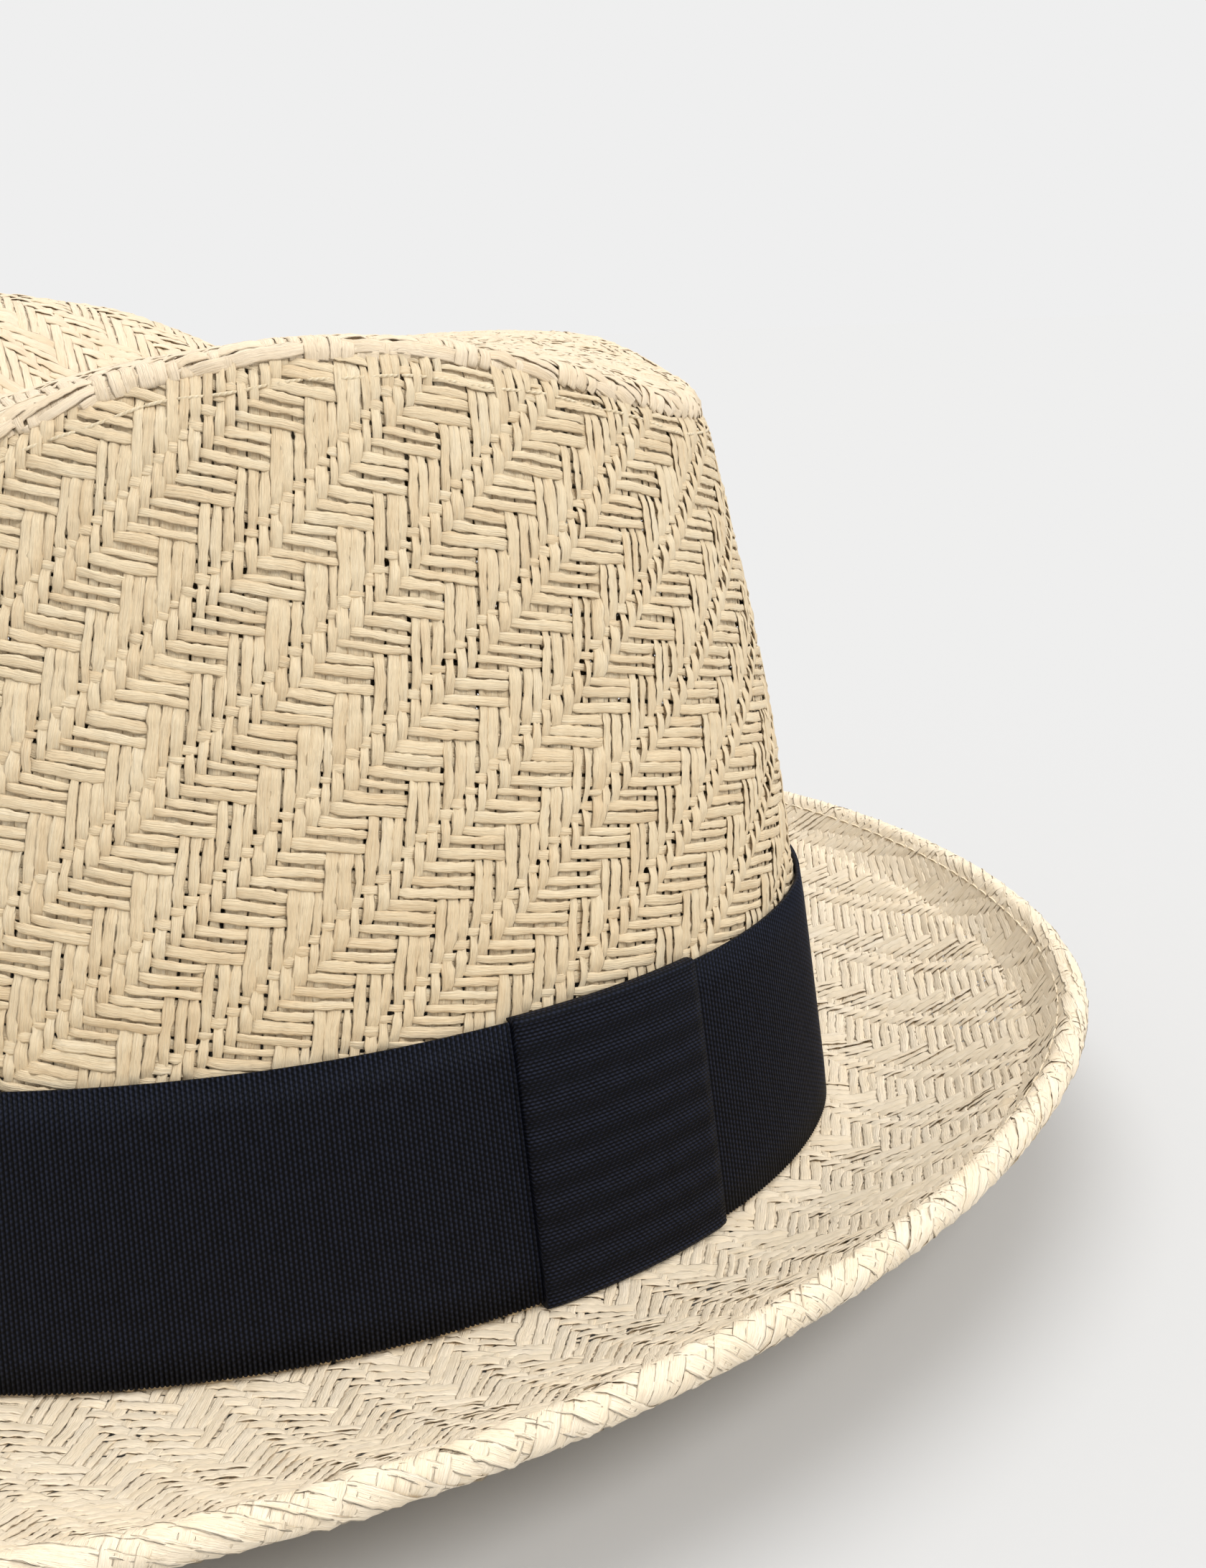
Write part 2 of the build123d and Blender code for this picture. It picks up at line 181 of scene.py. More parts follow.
SECTION = np.array([(-1.0, 0.0), (-0.72, 0.82), (0.72, 0.82), (1.0, 0.0), (0.72, -0.82), (-0.72, -0.82)])


def tape(centre, normal, width, thickness, twist, along, number):
    """A flat strand: six-sided rings along a line. Returns verts, quads and the fibre vectors."""
    count = len(centre)
    tangent = np.gradient(centre, axis=0)
    tangent /= np.linalg.norm(tangent, axis=1)[:, None] + 1e-12
    side = np.cross(tangent, normal)
    side /= np.linalg.norm(side, axis=1)[:, None] + 1e-12
    up = np.cross(side, tangent)
    a = SECTION[None, :, 0] * width[:, None] / 2
    b = SECTION[None, :, 1] * thickness[:, None] / 2
    c, s = np.cos(twist)[:, None], np.sin(twist)[:, None]
    ax, bx = a * c - b * s, a * s + b * c
    verts = centre[:, None, :] + side[:, None, :] * ax[..., None] + up[:, None, :] * bx[..., None]
    k = len(SECTION)
    ring = np.arange(count - 1)[:, None] * k
    i = np.arange(k)[None, :]
    nxt = (i + 1) % k
    quads = np.stack([ring + i, ring + nxt, ring + nxt + k, ring + i + k], -1).reshape(-1, 4)
    last = (count - 1) * k
    caps = np.array([[3, 2, 1, 0], [0, 5, 4, 3], [last, last + 1, last + 2, last + 3],
                     [last + 3, last + 4, last + 5, last]])
    fibre = np.empty((count, k, 3))
    fibre[..., 0] = along[:, None]
    fibre[..., 1] = SECTION[None, :, 0] * width[:, None] / 2 + 2.0 * (SECTION[None, :, 1] < -0.1)
    fibre[..., 2] = number
    return verts.reshape(-1, 3), np.concatenate([quads, caps]), fibre.reshape(-1, 3)


def gather(parts):
    """Joins (verts, quads, fibre) triples into one."""
    offset, verts, quads, fibre = 0, [], [], []
    for v, q, f in parts:
        verts.append(v)
        quads.append(q + offset)
        fibre.append(f)
        offset += len(v)
    return np.concatenate(verts), np.concatenate(quads), np.concatenate(fibre)


# ---- weaving --------------------------------------------------------------------------------------
def strand_level(kind, number, crossings):
    """The cloth's draft: how high warp (kind 0) or weft (kind 1) lies at its crossings.

    Warps run up the cloth and wefts across it, counted downwards. Each row has one long float, a
    block of warps, and a lone weft beside two proud little warp knots; rows step in threes.
    """
    j = crossings if kind == 0 else number
    k = (number + crossings) % 12
    weft_float = k <= 3 + (j - 1) % 3
    lone_weft = k == 9
    if kind == 1:
        return np.where(weft_float, 1.0, np.where(lone_weft, 0.55, -1.0))
    return np.where(weft_float | lone_weft, -1.0, np.where(k > 9, 1.35, 1.0))


UNDER_WIDTH = (1.14, 1.28)     # warps and wefts spread where they pass underneath


class Cloth:
    """One woven cloth: a flat pattern of strands laid on a surface.

    Lengths are in mm and fill is a share of the pitch. rough scales every unevenness below.
    """

    WIDTH_SPREAD = 0.13      # from strand to strand, as a share of the width
    SHIFT_SPREAD = 0.06      # from strand to strand, as a share of the pitch
    LEAN_SPREAD = math.radians(5.0)
    STEP_LEAN = math.radians(4.0)
    WANDER = 0.09            # along a strand, as a share of the pitch
    SWELL = 0.11             # along a strand, as a share of the width
    STEP_WIDTH = 0.05
    STEP_THICKNESS = 0.12
    FLOAT_ARCH = 0.08        # a float rises this much in its middle
    KNOT_LEVEL = 1.3         # above this the crossing is a proud knot

    def __init__(self, place, inside, warp_pitch, weft_pitch, lift=0.25, thickness=0.34,
                 warp_fill=1.0, weft_fill=0.80, rough=1.25, seed=1, facing=1.0):
        self.place, self.inside, self.facing = place, inside, facing
        self.pitch = (warp_pitch, weft_pitch)
        self.lift, self.thickness = lift, thickness
        self.fill = (warp_fill, weft_fill)
        self.rough = rough
        self.r = np.random.default_rng(seed)
        self.lateral = waves(seed + 1, 6, 5.0, 14.0)
        self.breadth = waves(seed + 2, 6, 3.0, 11.0)

    def strand(self, kind, number, crossings):
        """Pieces of one strand, as (verts, quads, fibre). Kind 0 is warp and 1 is weft."""
        own, other = self.pitch[kind], self.pitch[1 - kind]
        r = self.r
        tint = r.uniform(0.0, 100.0)
        wide = own * self.fill[kind] * (1.0 + self.WIDTH_SPREAD * r.normal() * self.rough)
        shift = self.SHIFT_SPREAD * own * r.normal() * self.rough
        lean = self.LEAN_SPREAD * r.normal() * self.rough
        start = r.uniform(0.0, 60.0)
        steps = np.arange(2 * len(crossings) - 1)
        cross = crossings[0] + steps / 2.0
        low = np.floor(cross).astype(int)
        high = np.ceil(cross).astype(int)
        level_low = strand_level(kind, number, low)
        level_high = strand_level(kind, number, high)
        state = (level_low + level_high) / 2.0
        middle = (low != high) & (level_low > 0) & (level_high > 0)
        lift = self.lift * state + self.FLOAT_ARCH * middle
        flat = np.empty((len(steps), 2))
        flat[:, kind] = number * own + shift
        flat[:, 1 - kind] = cross * other
        sway = unevenness(flat + 31.0 * number, self.lateral)
        flat[:, kind] += self.WANDER * self.rough * own * sway
        dist = self.inside(flat[:, 0], flat[:, 1])
        swell = unevenness(flat + 17.0 * number, self.breadth)
        width = wide * (1.0 + self.SWELL * self.rough * swell)
        over = np.where(state > self.KNOT_LEVEL, 1.0, np.where(state > 0.5, 1.03, 0.9))
        width *= np.where(state < -0.5, UNDER_WIDTH[kind], over)
        width += self.STEP_WIDTH * own * r.normal(size=len(steps)) * self.rough
        thick = self.thickness * (1.0 + self.STEP_THICKNESS * r.normal(size=len(steps)))
        turn = lean + self.STEP_LEAN * r.normal(size=len(steps)) * self.rough
        parts = []
        keep = dist > 0.0
        edges = np.flatnonzero(np.diff(np.concatenate([[False], keep, [False]]).astype(int)))
        for first, after in zip(edges[::2], edges[1::2]):
            if after - first < 3:
                continue
            index = np.arange(first, after)
            line = flat[index].copy()
            up = lift[index].copy()
            w, t, tw = width[index], thick[index], turn[index]
            if first > 0:
                share = dist[first] / (dist[first] - dist[first - 1])
                line = np.vstack([line[0] + (flat[first - 1] - line[0]) * share, line])
                up, w, t, tw = (np.concatenate([[v[0]], v]) for v in (up, w, t, tw))
            if after < len(steps):
                share = dist[after - 1] / (dist[after - 1] - dist[after])
                line = np.vstack([line, line[-1] + (flat[after] - line[-1]) * share])
                up, w, t, tw = (np.concatenate([v, [v[-1]]]) for v in (up, w, t, tw))
            point, normal, stretch = lay(self.place, line[:, 0], line[:, 1])
            normal = normal * self.facing
            w = w * np.clip(stretch[:, kind], 0.8, 1.6) ** 0.85
            along = start + line[:, 1 - kind]
            parts.append(tape(point + normal * up[:, None], normal, w, t, tw, along, tint))
        return parts

    def strands(self, kind, numbers, crossings):
        parts = []
        for number in numbers:
            parts += self.strand(kind, int(number), crossings)
        return parts


def lay(place_of, u, v, step=0.4):
    """Points of a surface, its outward normals, and how far it stretches the cloth's u and v."""
    along_u = (place_of(u + step, v) - place_of(u - step, v)) / (2.0 * step)
    along_v = (place_of(u, v + step) - place_of(u, v - step)) / (2.0 * step)
    normal = np.cross(along_u, along_v)
    normal /= np.linalg.norm(normal, axis=1)[:, None] + 1e-12
    stretch = np.stack([np.linalg.norm(along_u, axis=1), np.linalg.norm(along_v, axis=1)], -1)
    return place_of(u, v), normal, stretch


def turned(u, v, grain):
    """Plan position of a point of a cloth, v down the page, turned by the angle grain."""
    return u * math.cos(grain) + v * math.sin(grain), u * math.sin(grain) - v * math.cos(grain)


def polar(theta, radius, height):
    return np.stack([radius * np.cos(theta), radius * np.sin(theta), height], -1)


# the crown's side: one strip of cloth, a little off the straight, closed by the seam at the back
WARP_PITCH, WEFT_PITCH = 1.54, 1.57
SIDE_GRAIN = math.radians(-11.8)
SIDE_SCALE, SIDE_TOP = 88.0, 125.0
SEAM_ANGLE = math.radians(118.0)
side_dents = waves(71, 7, 35.0, 90.0, 3)


def side_flat(u, v):
    along, above = turned(u, v, SIDE_GRAIN)
    return along / SIDE_SCALE, SIDE_TOP + above


def on_wall(theta, z):
    """The middle of the side cloth, with its turned-in ends and soft unevenness."""
    below_rim = rim_height(theta) - z
    offset = -0.72 - 0.55 * np.exp(-(below_rim / 1.3) ** 2)
    offset += 0.22 * np.exp(-((below_rim - 4.5) / 2.5) ** 2)
    points = polar(theta, wall_radius(theta, z), z)
    offset = offset + 0.45 * unevenness(points, side_dents) * blend(z, 38.0, 60.0)
    from_seam = np.abs(np.mod(theta - SEAM_ANGLE + math.pi, TURN) - math.pi) * SIDE_SCALE
    offset = offset - 0.5 * np.exp(-(from_seam / 0.7) ** 2)
    return polar(theta, wall_radius(theta, z) + offset, z)


def side_points(u, v):
    return on_wall(*side_flat(u, v))


def side_inside(u, v):
    theta, z = side_flat(u, v)
    end = np.minimum(SEAM_ANGLE - theta, theta - SEAM_ANGLE + TURN) * SIDE_SCALE - 0.1
    return np.minimum(np.minimum(rim_height(theta) + 0.2 - z, z - 1.4), end)


# the crown's tip: a sheet seen from above, whose edge turns down to the seam
TIP_GRAIN = math.radians(35.0)
TIP_BEND = 2.0     # radius of the bend over the seam
TIP_END = 1.75     # how far round the bend the cloth reaches, in radians
tip_dents = waves(72, 6, 30.0, 70.0)


def tip_fold(u, v):
    """Theta, radius, drop and bend in radians of the tip's cloth, which turns down round the seam."""
    x, y = turned(u, v, TIP_GRAIN)
    theta = np.arctan2(y, x)
    start = wall_radius(theta, rim_height(theta)) - 0.35 - TIP_BEND
    over = np.maximum(np.hypot(x, y) - start, 0.0) / TIP_BEND
    radius = np.minimum(np.hypot(x, y), start) + TIP_BEND * np.sin(over)
    return theta, radius, TIP_BEND * (1.0 - np.cos(over)), over


def tip_points(u, v):
    theta, radius, drop, _ = tip_fold(u, v)
    x, y = radius * np.cos(theta), radius * np.sin(theta)
    uneven = 0.5 * unevenness(np.stack([x, y], -1), tip_dents)
    return np.stack([x, y, tip_height(x, y) - 0.7 - drop + uneven], -1)


def tip_inside(u, v):
    return TIP_END - tip_fold(u, v)[3]


# the brim and its rolled edge: one cloth, laid out by its length along the brim's section
THETA_STEPS = 720
BRIM_STEPS = 60


def brim_section():
    """Tables over theta and length outwards: radius, height. Also the length and where the hem begins."""
    theta = np.linspace(0.0, TURN, THETA_STEPS + 1)[:, None]
    middle = BRIM_THICKNESS / 2
    share = np.linspace(0.0, 1.0, BRIM_STEPS)[None, :]
    opening = oval_radius(theta) - CLOTH_THICKNESS
    radius, height = brim_place(theta, share, middle)
    slope_end = HEM_WIDTH + 6.0
    # the hem in the brim's own frame: inset from the edge, and up from the middle
    half = HEM_THICKNESS / 2 - 0.45
    lead = np.array([[slope_end, 0.0], [HEM_WIDTH + 3.5, 0.12 * half], [HEM_WIDTH + 1.0, 0.42 * half],
                     [HEM_WIDTH - 1.5, 0.82 * half]])
    angle = np.linspace(math.pi / 2, -math.pi / 2, 13)
    nose = np.stack([half + 0.45 - half * np.cos(angle), half * np.sin(angle)], -1)
    tail = np.array([[HEM_WIDTH - 1.4, -half], [HEM_WIDTH - 0.3, -0.75 * half]])
    profile = np.concatenate([lead, nose, tail])
    hem_r, hem_z = [], []
    for inset, up in profile:
        r, z = brim_place(theta[:, 0], 1.0, middle + up, inset)
        hem_r.append(r)
        hem_z.append(z)
    hem_r, hem_z = np.array(hem_r).T, np.array(hem_z).T
    keep = radius < hem_r[:, :1] - 0.8
    radius = np.where(keep, radius, np.nan)
    tables = []
    for row in range(THETA_STEPS + 1):
        k = keep[row]
        rr = np.concatenate([opening[row], radius[row][k], hem_r[row]])
        zz = np.concatenate([[middle], height[row][k], hem_z[row]])
        s = np.concatenate([[0.0], np.cumsum(np.hypot(np.diff(rr), np.diff(zz)))])
        hem_at = s[1 + k.sum()]
        tables.append((rr, zz, s, hem_at))
    fine = np.linspace(0.0, 1.0, 240)
    R = np.array([np.interp(fine * t[2][-1], t[2], t[0]) for t in tables])
    Z = np.array([np.interp(fine * t[2][-1], t[2], t[1]) for t in tables])
    length = np.array([t[2][-1] for t in tables])
    hem_at = np.array([t[3] for t in tables])
    return R, Z, length, hem_at


BRIM_R, BRIM_Z, BRIM_LENGTH, HEM_AT = brim_section()
brim_dents = waves(73, 7, 25.0, 80.0)
BRIM_GRAIN = math.radians(4.0)


def look_up(table, theta, share):
    """Bilinear look-up in a table over theta (all round) and share (0 to 1)."""
    a = np.mod(theta, TURN) / TURN * THETA_STEPS
    b = np.clip(share, 0.0, 1.0) * (table.shape[1] - 1)
    i, j = np.minimum(a.astype(int), THETA_STEPS - 1), np.minimum(b.astype(int), table.shape[1] - 2)
    f, g = a - i, b - j
    return ((table[i, j] * (1 - f) + table[i + 1, j] * f) * (1 - g)
            + (table[i, j + 1] * (1 - f) + table[i + 1, j + 1] * f) * g)


def around_table(values, theta):
    return np.interp(np.mod(theta, TURN), np.linspace(0.0, TURN, THETA_STEPS + 1), values)


def brim_polar(u, v):
    """Turns the cloth's own directions into theta and length outwards from the head opening."""
    x, y = turned(u, v, BRIM_GRAIN)
    theta = np.arctan2(y, x)
    return theta, np.hypot(x, y) - (oval_radius(theta) - CLOTH_THICKNESS)


def brim_points(u, v):
    theta, out = brim_polar(u, v)
    share = out / around_table(BRIM_LENGTH, theta)
    hem = blend(out, around_table(HEM_AT, theta) - 4.0, around_table(HEM_AT, theta))
    uneven = 0.35 * unevenness(np.stack([u, v], -1), brim_dents) * blend(out, 8.0, 20.0) * (1.0 - hem)
    return polar(theta, look_up(BRIM_R, theta, share), look_up(BRIM_Z, theta, share) + uneven)


def brim_inside(u, v):
    theta, out = brim_polar(u, v)
    return np.minimum(around_table(HEM_AT, theta) + 0.4 - out, out - 0.6)


def hem_inside(u, v):
    theta, out = brim_polar(u, v)
    return np.minimum(around_table(BRIM_LENGTH, theta) - 0.05 - out, out - around_table(HEM_AT, theta))


# ---- materials ------------------------------------------------------------------------------------
def node(tree, kind, **values):
    n = tree.nodes.new(kind)
    for key, value in values.items():
        if key in n.inputs:
            n.inputs[key].default_value = value
        else:
            setattr(n, key, value)
    return n


def new_material(name, roughness, specular=0.3, sheen=0.0, sheen_tint=(1, 1, 1, 1)):
    material = bpy.data.materials.new(name)
    material.use_nodes = True
    tree = material.node_tree
    shader = tree.nodes["Principled BSDF"]
    shader.inputs["Roughness"].default_value = roughness
    shader.inputs["Specular IOR Level"].default_value = specular
    shader.inputs["Sheen Weight"].default_value = sheen
    shader.inputs["Sheen Roughness"].default_value = 0.4
    shader.inputs["Sheen Tint"].default_value = sheen_tint
    return material, tree, shader


def ramp(tree, stops):
    n = tree.nodes.new("ShaderNodeValToRGB")
    elements = n.color_ramp.elements
    while len(elements) < len(stops):
        elements.new(0.5)
    for element, (place, colour) in zip(elements, stops):
        element.position = place
        element.color = (*colour, 1.0)
    return n


STRAW_COLOURS = ((0.25, (0.64, 0.465, 0.26)), (0.42, (0.775, 0.605, 0.385)),
                 (0.55, (0.835, 0.685, 0.46)), (0.75, (0.895, 0.775, 0.575)))
# The tip's copy of the straw colour is lighter than the side's: painted light on the top.
TIP_PAINTED_LIGHT_COLOURS = ((0.25, (0.71, 0.54, 0.335)), (0.42, (0.82, 0.66, 0.455)),
               (0.55, (0.875, 0.725, 0.53)), (0.75, (0.915, 0.79, 0.61)))
# The brim's copy, for the brim and its hem, is lighter again: painted light in place of the light the
# brim's faces lack.
BRIM_PAINTED_LIGHT_COLOURS = ((0.25, (0.80, 0.635, 0.42)), (0.42, (0.915, 0.765, 0.555)),
                   (0.55, (0.95, 0.815, 0.62)), (0.75, (0.975, 0.865, 0.70)))


def straw_material(name, stops):
    """Paper straw: pale strands that differ a little, with fine lengthwise fibres."""
    material, tree, shader = new_material(name, 0.55, 0.35, 0.12, (1.0, 0.93, 0.8, 1))
    link = tree.links.new
    fibre = node(tree, "ShaderNodeAttribute", attribute_name="fibre")
    stretch = node(tree, "ShaderNodeVectorMath", operation="MULTIPLY")
    stretch.inputs[1].default_value = (0.22, 6.5, 1.0)
    link(fibre.outputs["Vector"], stretch.inputs[0])
    fine = node(tree, "ShaderNodeTexNoise", Scale=1.0, Detail=3.0, Roughness=0.65)
    link(stretch.outputs[0], fine.inputs["Vector"])
    broad = node(tree, "ShaderNodeVectorMath", operation="MULTIPLY")
    broad.inputs[1].default_value = (0.07, 0.25, 1.0)
    link(fibre.outputs["Vector"], broad.inputs[0])
    patch = node(tree, "ShaderNodeTexNoise", Scale=1.0, Detail=2.0)
    link(broad.outputs[0], patch.inputs["Vector"])
    mix = node(tree, "ShaderNodeMath", operation="MULTIPLY_ADD")
    mix.inputs[1].default_value = 0.48
    link(patch.outputs["Fac"], mix.inputs[0])
    half = node(tree, "ShaderNodeMath", operation="MULTIPLY")
    half.inputs[1].default_value = 0.52
    link(fine.outputs["Fac"], half.inputs[0])
    link(half.outputs[0], mix.inputs[2])
    colours = ramp(tree, stops)
    link(mix.outputs[0], colours.inputs["Fac"])
    link(colours.outputs["Color"], shader.inputs["Base Color"])
    bump = node(tree, "ShaderNodeBump", Strength=1.0, Distance=0.00026)
    link(fine.outputs["Fac"], bump.inputs["Height"])
    link(bump.outputs["Normal"], shader.inputs["Normal"])
    rough = node(tree, "ShaderNodeMapRange")
    rough.inputs["To Min"].default_value = 0.48
    rough.inputs["To Max"].default_value = 0.72
    link(fine.outputs["Fac"], rough.inputs["Value"])
    link(rough.outputs[0], shader.inputs["Roughness"])
    return material


def ribbon_material(name):
    """Navy-black grosgrain: tiny lighter dots, offset from rib to rib. Painted shade and painted light:
    darkest in the grooves between ribs, lightest on the rib tops.
    """
    material, tree, shader = new_material(name, 0.55, 0.10, 0.0)
    link = tree.links.new
    fibre = node(tree, "ShaderNodeAttribute", attribute_name="fibre")
    split = node(tree, "ShaderNodeSeparateXYZ")
    link(fibre.outputs["Vector"], split.inputs[0])
    rib = node(tree, "ShaderNodeMath", operation="FLOOR")
    link(split.outputs["X"], rib.inputs[0])
    odd = node(tree, "ShaderNodeMath", operation="MULTIPLY_ADD")
    odd.inputs[1].default_value = 0.5
    link(rib.outputs[0], odd.inputs[0])
    link(split.outputs["Y"], odd.inputs[2])
    angle = node(tree, "ShaderNodeMath", operation="MULTIPLY")
    angle.inputs[1].default_value = TURN
    link(odd.outputs[0], angle.inputs[0])
    dots = node(tree, "ShaderNodeMath", operation="SINE")
    link(angle.outputs[0], dots.inputs[0])
    noise = node(tree, "ShaderNodeTexNoise", Scale=0.35, Detail=2.0)
    link(fibre.outputs["Vector"], noise.inputs["Vector"])
    speckle = node(tree, "ShaderNodeMath", operation="MULTIPLY_ADD")
    speckle.inputs[1].default_value = 0.16
    link(dots.outputs[0], speckle.inputs[0])
    calm = node(tree, "ShaderNodeMapRange")
    calm.inputs["To Min"].default_value = 0.36
    calm.inputs["To Max"].default_value = 0.66
    link(noise.outputs["Fac"], calm.inputs["Value"])
    link(calm.outputs[0], speckle.inputs[2])
    # Painted shade and painted light: the colour darkens towards each groove between ribs and lightens on
    # each rib top.
    across = node(tree, "ShaderNodeMath", operation="MULTIPLY")
    across.inputs[1].default_value = TURN
    link(split.outputs["X"], across.inputs[0])
    painted_rib_shading = node(tree, "ShaderNodeMath", operation="COSINE")
    link(across.outputs[0], painted_rib_shading.inputs[0])
    total = node(tree, "ShaderNodeMath", operation="MULTIPLY_ADD")
    total.inputs[1].default_value = -0.30
    link(painted_rib_shading.outputs[0], total.inputs[0])
    link(speckle.outputs[0], total.inputs[2])
    # The ramp's dark end is the painted shade of the grooves and its light end the painted light of the
    # rib tops, with the dots and tone between.
    colours = ramp(tree, [
        (0.25, (0.0006, 0.0008, 0.0016)),
        (0.60, (0.0032, 0.0042, 0.0090)),
        (0.85, (0.0140, 0.0175, 0.0330)),
    ])
    link(total.outputs[0], colours.inputs["Fac"])
    link(colours.outputs["Color"], shader.inputs["Base Color"])
    bump = node(tree, "ShaderNodeBump", Strength=0.5, Distance=0.00008)
    link(dots.outputs[0], bump.inputs["Height"])
    link(bump.outputs["Normal"], shader.inputs["Normal"])
    return material


def cloth_material(name, dark, light, scale=2.2, roughness=0.75):
    """A plain fine cloth: fibre.x runs along it and fibre.y across, both in mm."""
    material, tree, shader = new_material(name, roughness, 0.2, 0.2)
    link = tree.links.new
    fibre = node(tree, "ShaderNodeAttribute", attribute_name="fibre")
    split = node(tree, "ShaderNodeSeparateXYZ")
    link(fibre.outputs["Vector"], split.inputs[0])
    diagonal = node(tree, "ShaderNodeMath", operation="ADD")
    link(split.outputs["X"], diagonal.inputs[0])
    link(split.outputs["Y"], diagonal.inputs[1])
    angle = node(tree, "ShaderNodeMath", operation="MULTIPLY")
    angle.inputs[1].default_value = TURN * scale
    link(diagonal.outputs[0], angle.inputs[0])
    twill = node(tree, "ShaderNodeMath", operation="SINE")
    link(angle.outputs[0], twill.inputs[0])
    noise = node(tree, "ShaderNodeTexNoise", Scale=0.5, Detail=3.0)
    link(fibre.outputs["Vector"], noise.inputs["Vector"])
    total = node(tree, "ShaderNodeMath", operation="MULTIPLY_ADD")
    total.inputs[1].default_value = 0.14
    link(twill.outputs[0], total.inputs[0])
    link(noise.outputs["Fac"], total.inputs[2])
    colours = ramp(tree, [(0.3, dark), (0.75, light)])
    link(total.outputs[0], colours.inputs["Fac"])
    link(colours.outputs["Color"], shader.inputs["Base Color"])
    bump = node(tree, "ShaderNodeBump", Strength=0.5, Distance=0.0001)
    link(twill.outputs[0], bump.inputs["Height"])
    link(bump.outputs["Normal"], shader.inputs["Normal"])
    return material


def wire_material(name):
    material, tree, shader = new_material(name, 0.35, 0.5)
    shader.inputs["Metallic"].default_value = 1.0
    noise = node(tree, "ShaderNodeTexNoise", Scale=900.0, Detail=2.0)
    colours = ramp(tree, [(0.3, (0.42, 0.42, 0.43)), (0.7, (0.6, 0.6, 0.61))])
    tree.links.new(noise.outputs["Fac"], colours.inputs["Fac"])
    tree.links.new(colours.outputs["Color"], shader.inputs["Base Color"])
    return material


straw = straw_material("straw", STRAW_COLOURS)
# A lighter copy of the side's straw for the tip: painted light.
straw_tip_painted_light = straw_material("straw_tip_painted_light", TIP_PAINTED_LIGHT_COLOURS)
# A still lighter copy for the brim and hem: painted light.
straw_brim_painted_light = straw_material("straw_brim_painted_light", BRIM_PAINTED_LIGHT_COLOURS)
ribbon = ribbon_material("ribbon_grosgrain")
ribbon_knot_cloth = ribbon_material("ribbon_knot_grosgrain")
band_cloth = cloth_material("sweatband_twill", (0.52, 0.44, 0.33), (0.68, 0.60, 0.47))
binding = cloth_material("binding_tape", (0.58, 0.49, 0.35), (0.72, 0.63, 0.47), 1.6)
label_cloth = cloth_material("label_satin", (0.72, 0.70, 0.66), (0.84, 0.82, 0.78), 3.0, 0.45)
thread = cloth_material("sewing_thread", (0.66, 0.53, 0.34), (0.82, 0.70, 0.50), 1.4, 0.6)
pale_thread = cloth_material("hem_thread", (0.84, 0.70, 0.49), (0.94, 0.82, 0.63), 1.4, 0.6)
dark_thread = cloth_material("ribbon_thread", (0.006, 0.007, 0.013), (0.02, 0.024, 0.04), 1.4, 0.6)
wire = wire_material("spring_wire")


# ---- plain cloth pieces: closed strips round the wall ---------------------------------------------
def strip(name, rows, closed, fibre_of, material):
    """A closed skin from rows of points: every row is a closed loop round the strip's section.

    rows has shape (steps along, points round the section, 3). If it isn't closed on itself, its
    two ends are shut with quads.
    """
    n, m = rows.shape[:2]
    steps = np.arange(n if closed else n - 1)[:, None]
    i = np.arange(m)[None, :]
    a = steps * m + i
    b = steps * m + (i + 1) % m
    c = (steps + 1) % n * m + (i + 1) % m
    d = (steps + 1) % n * m + i
    quads = np.stack([a, d, c, b], -1).reshape(-1, 4)
    if not closed:
        caps = []
        for row, flip in ((0, True), (n - 1, False)):
            for k in range(m // 2 - 1):
                quad = [row * m + k, row * m + k + 1, row * m + m - 2 - k, row * m + m - 1 - k]
                caps.append(quad[::-1] if not flip else quad)
        quads = np.concatenate([quads, np.array(caps)])
    return mesh_object(name, rows.reshape(-1, 3), quads, fibre_of.reshape(-1, 3), material)


def finish_piece(piece, node_name):
    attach(piece, "root")
    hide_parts(node_name)


# ---- making the woven pieces ----------------------------------------------------------------------
def add_woven(name, parts, node_name, material):
    finish_piece(mesh_object(name, *gather(parts), material), node_name)


def groups_of(numbers, groups):
    return [numbers[k * len(numbers) // groups:(k + 1) * len(numbers) // groups]
            for k in range(groups)]


SIDE_GROUPS = 5     # pieces that the side's warps and wefts are each made in


def make_side():
    cloth = Cloth(side_points, side_inside, WARP_PITCH, WEFT_PITCH, seed=11, facing=-1.0)
    start, end = SIDE_SCALE * (SEAM_ANGLE - TURN), SIDE_SCALE * SEAM_ANGLE
    c, sn = math.cos(SIDE_GRAIN), -math.sin(SIDE_GRAIN)
    warps = np.arange(int(start * c / WARP_PITCH) - 3, int((end * c + SIDE_TOP * sn) / WARP_PITCH) + 4)
    wefts = np.arange(int(-end * sn / WEFT_PITCH) - 3, int((SIDE_TOP * c - start * sn) / WEFT_PITCH) + 4)
    for k, group in enumerate(groups_of(warps, SIDE_GROUPS)):
        add_woven(f"crown_side_warp_{k + 1}", cloth.strands(0, group, wefts), "crown_side", straw)
    for k in range(SIDE_GROUPS):
        parts = cloth.strands(1, wefts[k::SIDE_GROUPS], warps)
        add_woven(f"crown_side_weft_{k + 1}", parts, "crown_side", straw)


